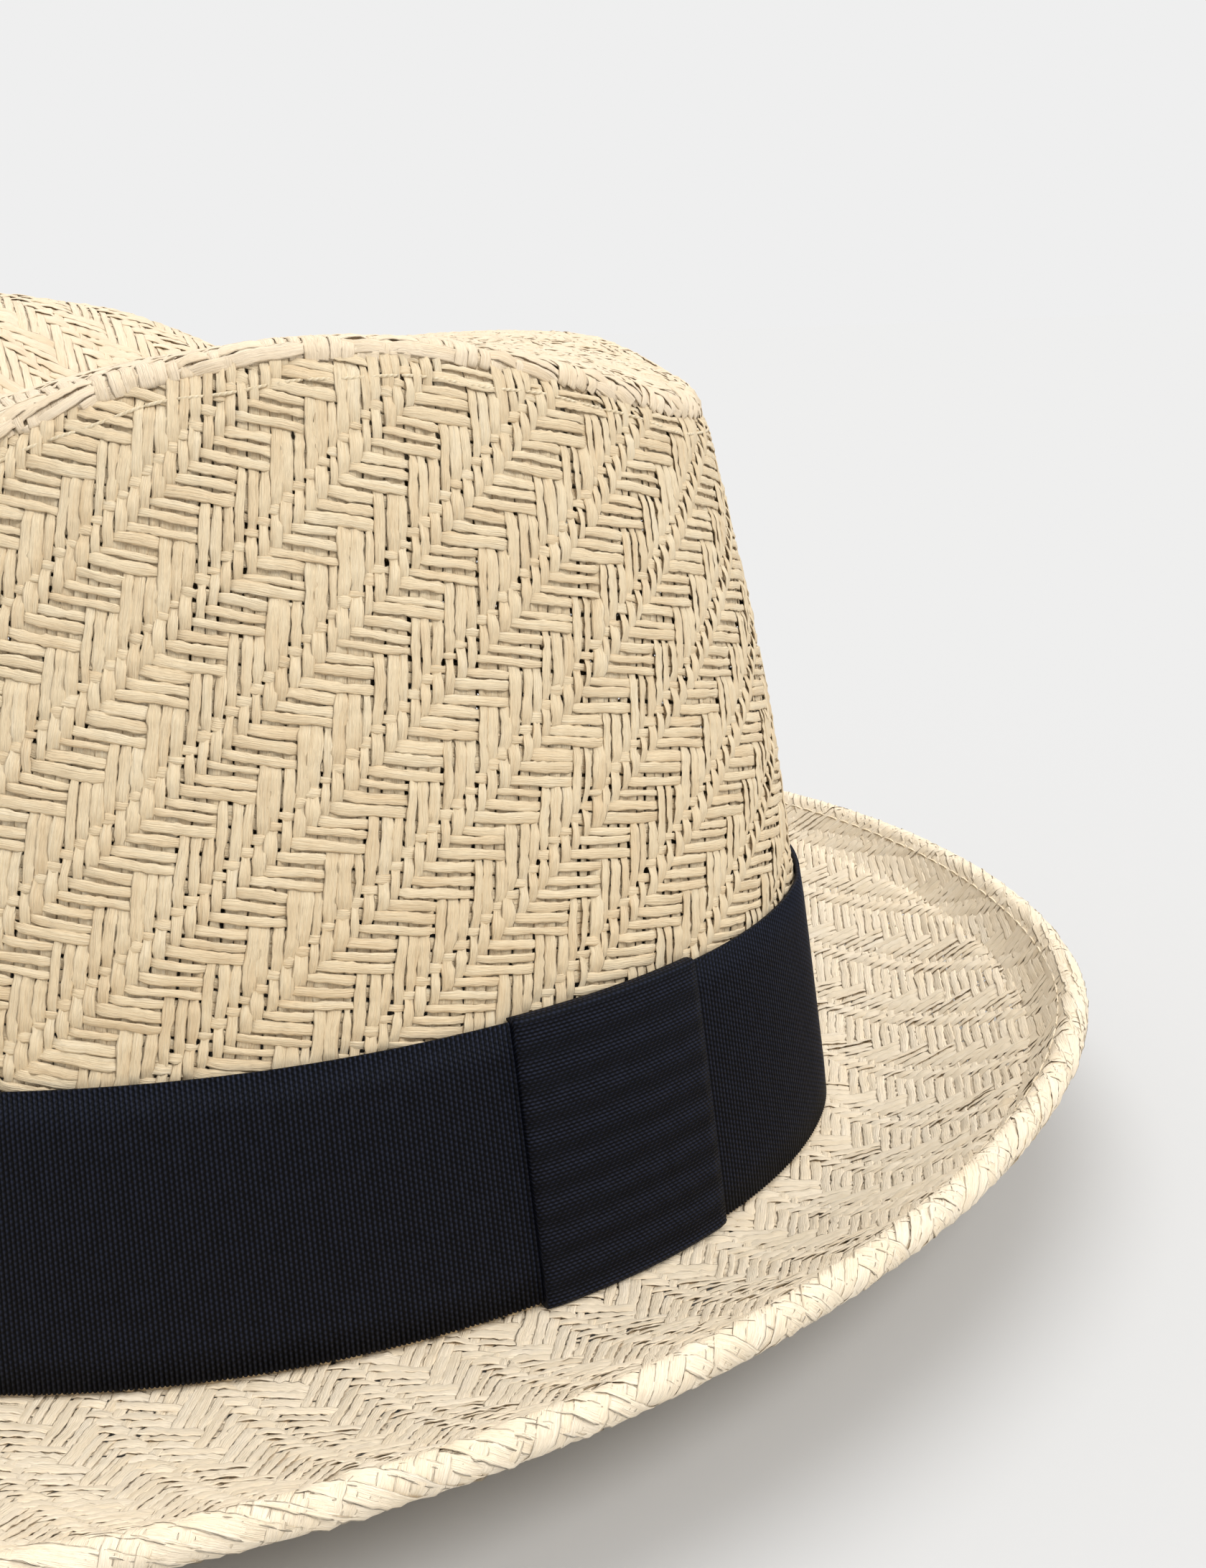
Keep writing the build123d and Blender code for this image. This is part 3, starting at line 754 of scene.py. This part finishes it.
def make_flat_cloth(node_name, cloth, reach, groups, material):
    """A cloth laid out in plan, out to reach: its warps and wefts, each in a few pieces."""
    for kind, word in enumerate(("warp", "weft")):
        own, other = cloth.pitch[kind], cloth.pitch[1 - kind]
        numbers = np.arange(-int(reach / own), int(reach / own) + 1)
        crossings = np.arange(-int(reach / other), int(reach / other) + 1)
        for k, group in enumerate(groups_of(numbers, groups)):
            parts = cloth.strands(kind, group, crossings)
            add_woven(f"{node_name}_{word}_{k + 1}", parts, node_name, material)


def make_tip():
    cloth = Cloth(tip_points, tip_inside, WARP_PITCH, WEFT_PITCH, lift=0.16, thickness=0.3,
                  warp_fill=1.06, weft_fill=0.98, rough=1.0, seed=21, facing=-1.0)
    make_flat_cloth("crown_tip", cloth, 108.0, 2, straw_tip_painted_light)


def make_brim():
    pressed = dict(rough=1.2, lift=0.13, thickness=0.25, warp_fill=1.05, weft_fill=0.98, facing=-1.0)
    brim = Cloth(brim_points, brim_inside, WARP_PITCH, WEFT_PITCH, seed=31, **pressed)
    make_flat_cloth("brim", brim, 165.0, 2, straw_brim_painted_light)
    pressed.update(lift=0.06, thickness=0.17, warp_fill=1.22, weft_fill=1.16, rough=0.8)
    hem = Cloth(brim_points, hem_inside, WARP_PITCH, WEFT_PITCH, seed=31, **pressed)
    make_flat_cloth("brim_hem", hem, 175.0, 1, straw_brim_painted_light)


make_side()
make_tip()
make_brim()


# ---- ribbon ---------------------------------------------------------------------------------------
RIB_PITCH, DOT_PITCH = 0.66, 0.75
KNOT_RIB_PITCH = 0.56
KNOT_FACE, FOLD_RADIUS = 2.15, 0.5
BAND_RADIUS = 96.0    # of a circle as long as the band
BAND_SEAT = 1.4       # how far the band's lower edge settles towards the brim
RIB_COLUMNS = 4
RIB_HEIGHTS = np.array([0.0, 0.75, 1.0, 0.75]) * 0.2


def wall_place(theta, height, offset):
    """A point of the wall moved out by offset."""
    return polar(theta, wall_radius(theta, height) + offset, height)


def make_band():
    ribs = round(TURN * BAND_RADIUS / RIB_PITCH)
    columns = ribs * RIB_COLUMNS
    theta = np.arange(columns) / columns * TURN
    rib = np.arange(columns) / RIB_COLUMNS
    bulge = np.tile(RIB_HEIGHTS, ribs)
    low, high = RIBBON_LOW - BAND_SEAT, RIBBON_LOW + RIBBON_HEIGHT
    ripple = waves(81, 5, 40.0, 120.0, 1)
    arc = (theta * BAND_RADIUS)[:, None]
    sway = 0.22 * unevenness(arc, ripple)
    scallop = 0.5 * bulge
    outer, inner = 0.74, 0.15
    rows, fibre = [], []
    heights = np.linspace(0.0, 1.0, 9)
    for share in heights:
        z = low + 0.15 + share * (high - low - 0.3) + sway * (0.5 if share > 0.5 else 0.3)
        z = z + np.where(share == 0.0, -scallop, 0.0) + np.where(share == 1.0, scallop, 0.0)
        edge = 0.12 if share in (0.0, 1.0) else 0.0
        rows.append(wall_place(theta, z, outer + bulge - edge))
        fibre.append(np.stack([rib, z / DOT_PITCH, np.zeros(columns)], -1))
    for share in heights[::-1][[0, 4, 8]]:
        z = low + 0.25 + share * (high - low - 0.5) + sway * (0.5 if share > 0.5 else 0.3)
        rows.append(wall_place(theta, z, inner))
        fibre.append(np.stack([rib, z / DOT_PITCH, np.ones(columns)], -1))
    piece = strip("ribbon_band", np.array(rows).transpose(1, 0, 2), True,
                  np.array(fibre).transpose(1, 0, 2), ribbon)
    finish_piece(piece, "ribbon_band")


def wall_normal_frame(angle, height):
    """A point of the wall at an angle, and the direction along the wall there."""
    before = polar(angle - 0.01, wall_radius(angle - 0.01, height), height)
    after = polar(angle + 0.01, wall_radius(angle + 0.01, height), height)
    side = (after - before) / np.linalg.norm(after - before)
    return (before + after) / 2, side


def make_knot():
    """A folded length of ribbon round the band, its ribs running along the band."""
    middle = RIBBON_LOW + RIBBON_HEIGHT / 2
    centre, side = wall_normal_frame(np.float64(KNOT_ANGLE), middle)
    across = np.linspace(-0.5, 0.5, 25)
    low, high = RIBBON_LOW - BAND_SEAT - 0.3, RIBBON_LOW + RIBBON_HEIGHT + 0.75
    face, fold = KNOT_FACE, FOLD_RADIUS
    count = round((high - low) / KNOT_RIB_PITCH)
    steps = count * RIB_COLUMNS + 1
    z_face = np.linspace(low + fold, high - fold, steps)
    bulge = np.resize(RIB_HEIGHTS, steps) * 0.7
    # the section: from the lower edge's back, over the front, to the upper edge's back
    arc = np.linspace(0.0, math.pi / 2, 6)[1:-1]
    front = [(0.35, low + 0.15), (0.9, low)]
    front += [(face - fold + fold * math.sin(t), low + fold - fold * math.cos(t)) for t in arc]
    front += [(face + b, z) for b, z in zip(bulge, z_face)]
    front += [(face - fold + fold * math.cos(t), high - fold + fold * math.sin(t)) for t in arc]
    front += [(0.9, high), (0.35, high - 0.15)]
    front = np.array(front)
    run = np.concatenate([[0.0], np.cumsum(np.hypot(*np.diff(front, axis=0).T))])
    # and back along the inner face of the folded ribbon
    inner = np.array([(0.3, low + 0.45), (face - 0.85, low + 0.85), (face - 0.8, middle),
                      (face - 0.85, high - 0.85), (0.3, high - 0.45)])
    inner_run = np.concatenate([[0.0], np.cumsum(np.hypot(*np.diff(inner, axis=0).T))])
    at = run / run[-1] * inner_run[-1]
    back = np.stack([np.interp(at, inner_run, inner[:, k]) for k in (0, 1)], -1)
    section = np.concatenate([front, back[::-1]])
    count_up = np.concatenate([run, run[::-1]]) / KNOT_RIB_PITCH
    rows, fibre = [], []
    for t in across:
        start = centre + side * (t * KNOT_WIDTH)
        theta = np.arctan2(start[1], start[0])
        tuck = 0.22 * max(0.0, abs(t) * 2.0 - 0.9) / 0.1
        out = section[:, 0] - tuck * (section[:, 0] > 1.2) + 0.12 * math.sin(3.0 * t + 0.6)
        rows.append(wall_place(np.full(len(section), theta), section[:, 1] + 0.25 * t, out))
        fibre.append(np.stack([count_up, np.full(len(section), t * KNOT_WIDTH / DOT_PITCH),
                               np.zeros(len(section))], -1))
    piece = strip("ribbon_knot", np.array(rows), False, np.array(fibre), ribbon_knot_cloth)
    finish_piece(piece, "ribbon_knot")


# ---- threads --------------------------------------------------------------------------------------
THREAD_SEAT = 0.42        # a row's centre line stands this far off the cloth's middle
TOPSTITCH_DROP = 3.0      # below the seam
SEAM_ROW_OFFSET = 2.2     # each side of the back seam
HEM_ROW_INSET = 1.4       # from the hem's inner edge
TACK_ANGLES = (-150.0, -90.0, -30.0, 135.0, 175.0)
TACK_DROP, TACK_ARC = 2.5, math.radians(2.2)
BAND_ROW_HEIGHT, BAND_ROW_OFFSET = 3.6, -3.45
TAB_WIDTH, TAB_GAP = 14.0, 4.0


def make_stitches(name, place_of, count, node_name, material, length=0.8,
                  diameter=0.36, rise=0.32, seed=5):
    """Separate bent stitches along a line: place_of(share) gives points, outwards and sideways."""
    r = np.random.default_rng(seed)
    parts = []
    for i in range(count):
        run = length * (1.0 + 0.06 * r.normal())
        t = np.linspace(0.0, 1.0, 9)
        share = (i + t * run + 0.03 * r.normal()) / count
        point, out = place_of(share)
        bow = rise * np.sin(math.pi * t) ** 0.7 - 0.18
        size = diameter * (0.55 + 0.45 * np.sin(math.pi * t) ** 0.4)
        parts.append(tape(point + out * bow[:, None], out, size, size, np.zeros(9),
                          share * count * 4.0, r.uniform(0, 50)))
    finish_piece(mesh_object(name, *gather(parts), material), node_name)


def outward(points):
    out = points.copy()
    out[:, 2] = 0.0
    return out / np.linalg.norm(out, axis=1)[:, None]


def on_side(theta, z, offset):
    """A point on the side cloth's outside, with the direction straight out."""
    points = on_wall(theta, z)
    out = outward(points)
    return points + out * offset, out


def make_threads():
    def round_tip(share):
        theta = TURN * share
        wander = 0.35 * np.sin(theta * 23.0) * np.sin(theta * 7.0 + 1.0)
        return on_side(theta, rim_height(theta) - TOPSTITCH_DROP + wander, THREAD_SEAT)

    make_stitches("tip_topstitching", round_tip, 121, "tip_topstitching", thread,
                  length=0.93, diameter=0.42, rise=0.16)

    low, high = RIBBON_LOW + RIBBON_HEIGHT + 4.0, float(rim_height(np.float64(SEAM_ANGLE))) - 5.0
    rows = []
    for sign in (-1, 1):
        theta = SEAM_ANGLE + sign * SEAM_ROW_OFFSET / HALF_LENGTH

        def up_seam(share):
            z = low + share * (high - low)
            return on_side(np.full_like(z, theta), z, THREAD_SEAT)

        rows.append(up_seam)

    def both(share):
        first = np.mod(share * 2.0, 2.0)
        half = first[0] >= 1.0
        return rows[1 if half else 0](np.clip(first - (1.0 if half else 0.0), 0.0, 1.0))

    make_stitches("back_seam_stitching", both, 32, "back_seam_stitching", thread)

    def on_hem(share):
        theta = TURN * share
        up = BRIM_THICKNESS / 2 + HEM_THICKNESS / 2 - 0.55
        r, z = brim_place(theta, 1.0, up, HEM_WIDTH - HEM_ROW_INSET)
        points = polar(theta, r, z)
        upward = np.zeros_like(points)
        upward[:, 2] = 1.0
        return points, upward

    make_stitches("hem_stitching", on_hem, 217, "hem_stitching", pale_thread,
                  diameter=0.3, rise=0.2)

    def tacks(share):
        count = len(TACK_ANGLES)
        k = int(share[0] * count + 0.5) % count
        t = share * count - k
        theta = math.radians(TACK_ANGLES[k]) + TACK_ARC * (t - 0.4)
        z = np.full_like(theta, RIBBON_LOW + RIBBON_HEIGHT - TACK_DROP)
        points = wall_place(theta, z, 1.0)
        return points, outward(points)

    make_stitches("ribbon_tacks", tacks, len(TACK_ANGLES), "ribbon_tacks",
                  dark_thread, rise=0.25)

    def in_band(share):
        tab = (TAB_WIDTH / 2 + TAB_GAP) / HALF_LENGTH
        theta = math.pi / 2 + tab + share * (TURN - 2.0 * tab)
        points = wall_place(theta, np.full_like(theta, BAND_ROW_HEIGHT), BAND_ROW_OFFSET)
        return points, -outward(points)

    make_stitches("sweatband_stitching", in_band, 136, "sweatband_stitching", thread)


# ---- inside ---------------------------------------------------------------------------------------
def make_ring(name, section_of, steps, node_name, material):
    """A closed ring: section_of(theta) gives heights and offsets from the wall, in order round it."""
    theta = np.linspace(0.0, TURN, steps, endpoint=False)
    height, offset = section_of(theta)
    place = np.stack([wall_place(theta, h, o) for h, o in zip(height, offset)], 1)
    arc = theta * 95.0
    fibre = np.stack([np.stack([arc, h, 0.0 * arc], -1) for h in height], 1)
    piece = strip(name, place, True, fibre, material)
    finish_piece(piece, node_name)


def make_inside():
    def sweat(theta):
        wave = 0.35 * np.sin(theta * 5.0 + 0.7) + 0.2 * np.sin(theta * 11.0)
        rows = [(0.7, -2.2), (12.0, -2.2), (24.0, -2.2), (32.3, -2.2), (33.3, -2.45), (33.5, -2.75),
                (33.3, -3.05), (32.2, -3.25), (24.0, -3.2), (12.0, -3.2), (3.6, -3.3), (1.0, -3.25)]
        height = [h + (wave if h > 30 else 0.0) + 0.0 * theta for h, _ in rows]
        offset = [o + 0.0 * theta for _, o in rows]
        return height, offset

    make_ring("sweatband", sweat, 360, "sweatband", band_cloth)

    def tape_rows(theta):
        rim = rim_height(theta)
        wave = 0.25 * np.sin(theta * 17.0 + 0.7)
        rows = [(-14.0, -2.15), (-7.0, -2.15), (-1.6, -2.15), (-1.5, -2.45), (-1.7, -2.65),
                (-7.0, -2.7), (-13.8, -2.65), (-14.1, -2.4)]
        height = [rim + h + (wave if h < -13 else 0.0) for h, _ in rows]
        offset = [o + 0.0 * theta for _, o in rows]
        return height, offset

    make_ring("tip_seam_tape", tape_rows, 360, "tip_seam_tape", binding)
    make_plate("sweatband_back_tab", binding, degrees=90.0, width=TAB_WIDTH,
               low=2.1, high=30.6, offset=-3.45, thickness=0.5)
    make_plate("size_label", label_cloth, degrees=180.0, width=32.0,
               low=39.6, high=53.6, offset=-2.15, thickness=0.3)


def make_plate(name, material, degrees, width, low, high, offset, thickness):
    """A small cloth plate on the inside of the wall, with softly rounded edges."""
    angle = np.float64(math.radians(degrees))
    centre, side = wall_normal_frame(angle, (low + high) / 2)
    across = np.linspace(-0.5, 0.5, 29)
    up = np.linspace(0.0, 1.0, 15)
    rows, fibre = [], []
    for t in across:
        start = centre + side * (t * width)
        theta = np.arctan2(start[1], start[0])
        edge = 0.12 * max(0.0, abs(t) * 2.0 - 0.9) / 0.1
        curl = 0.1 * math.sin(7.0 * t)
        z = np.concatenate([low + up * (high - low), (low + up * (high - low))[::-1]])
        fade = np.clip(np.minimum(up, 1.0 - up) / 0.06, 0.0, 1.0)
        face = offset - thickness + edge + curl * 0.3 + 0.1 * (1.0 - fade)
        back = np.full_like(up, offset) - 0.3 * edge
        out = np.concatenate([back, face[::-1]])
        rows.append(wall_place(np.full(len(z), theta), z, out))
        fibre.append(np.stack([np.full(len(z), t * width), z, 0.0 * z], -1))
    piece = strip(name, np.array(rows), False, np.array(fibre), material)
    finish_piece(piece, name)


make_band()
make_knot()
make_threads()
make_inside()
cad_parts["hem_wire"].data.materials.clear()
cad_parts["hem_wire"].data.materials.append(wire)

# ---- camera, light and floor ----------------------------------------------------------------------
IMAGE_WIDTH, SENSOR_WIDTH = 1680.0, 36.0


def make_camera():
    """The photo's viewpoint: angles in degrees, distance and shifts in mm, focal length in pixels."""
    azimuth, elevation, roll = 101.677, 15.943, -2.171
    distance, focal, right_shift, up_shift = 274.771, 2207.434, 68.104, 48.207
    a, e, r = math.radians(azimuth), math.radians(elevation), math.radians(roll)
    back = Vector((math.sin(a) * math.cos(e), -math.cos(a) * math.cos(e), math.sin(e)))
    right = Vector((math.cos(a), math.sin(a), 0.0))
    up = back.cross(right)
    right_rolled = math.cos(r) * right + math.sin(r) * up
    up_rolled = -math.sin(r) * right + math.cos(r) * up
    place = right * right_shift + up * up_shift + back * distance
    place = (place + Vector((0.0, CENTRE_Y, 0.0))) * MM
    data = bpy.data.cameras.new("camera")
    data.sensor_fit = "HORIZONTAL"
    data.sensor_width = SENSOR_WIDTH
    data.lens = focal / IMAGE_WIDTH * SENSOR_WIDTH
    data.clip_start = 0.01
    camera = bpy.data.objects.new("camera", data)
    frame_axes = Matrix((right_rolled, up_rolled, back)).transposed()
    camera.matrix_world = Matrix.Translation(place) @ frame_axes.to_4x4()
    bpy.context.scene.collection.objects.link(camera)
    bpy.context.scene.camera = camera


make_camera()


FLOOR_HALF = 60.0     # metres
FLOOR_SHADE, BACKDROP = 0.549, 0.863
SKY = 0.70
SUNS = (   # name, direction the light comes from (azimuth, height), strength, softness, colour
    ("key", 55.0, 48.0, 1.7, 26.0, (1.0, 0.995, 0.985)),
    ("top", 215.0, 80.0, 1.5, 50.0, (1.0, 0.997, 0.99)),
)


def make_floor():
    mesh = bpy.data.meshes.new("floor")
    half = FLOOR_HALF
    mesh.from_pydata([(-half, -half, 0), (half, -half, 0), (half, half, 0), (-half, half, 0)],
                     [], [(0, 1, 2, 3)])
    material, tree, shader = new_material("floor", 0.9, 0.0)
    shader.inputs["Base Color"].default_value = (FLOOR_SHADE, FLOOR_SHADE, FLOOR_SHADE, 1)
    mesh.materials.append(material)
    floor = bpy.data.objects.new("floor", mesh)
    bpy.context.scene.collection.objects.link(floor)


make_floor()


def make_light():
    """A white sky, two soft suns, and a backdrop as bright as the floor, so no horizon shows."""
    world = bpy.data.worlds.new("studio")
    bpy.context.scene.world = world
    world.use_nodes = True
    tree = world.node_tree
    sky = tree.nodes["Background"]
    sky.inputs["Color"].default_value = (1.0, 1.0, 1.0, 1.0)
    sky.inputs["Strength"].default_value = SKY
    backdrop = tree.nodes.new("ShaderNodeBackground")
    backdrop.inputs["Color"].default_value = (1.0, 1.0, 1.0, 1.0)
    backdrop.inputs["Strength"].default_value = BACKDROP
    path = tree.nodes.new("ShaderNodeLightPath")
    mix = tree.nodes.new("ShaderNodeMixShader")
    tree.links.new(path.outputs["Is Camera Ray"], mix.inputs[0])
    tree.links.new(sky.outputs[0], mix.inputs[1])
    tree.links.new(backdrop.outputs[0], mix.inputs[2])
    tree.links.new(mix.outputs[0], tree.nodes["World Output"].inputs["Surface"])
    for name, azimuth, height, power, softness, colour in SUNS:
        data = bpy.data.lights.new(name, "SUN")
        data.energy = power
        data.angle = math.radians(softness)
        data.color = colour
        lamp = bpy.data.objects.new(name, data)
        a, e = math.radians(azimuth), math.radians(height)
        aim = -Vector((math.cos(a) * math.cos(e), math.sin(a) * math.cos(e), math.sin(e)))
        lamp.matrix_world = aim.to_track_quat("-Z", "Y").to_matrix().to_4x4()
        bpy.context.scene.collection.objects.link(lamp)


make_light()
bpy.context.scene.view_settings.view_transform = "Standard"
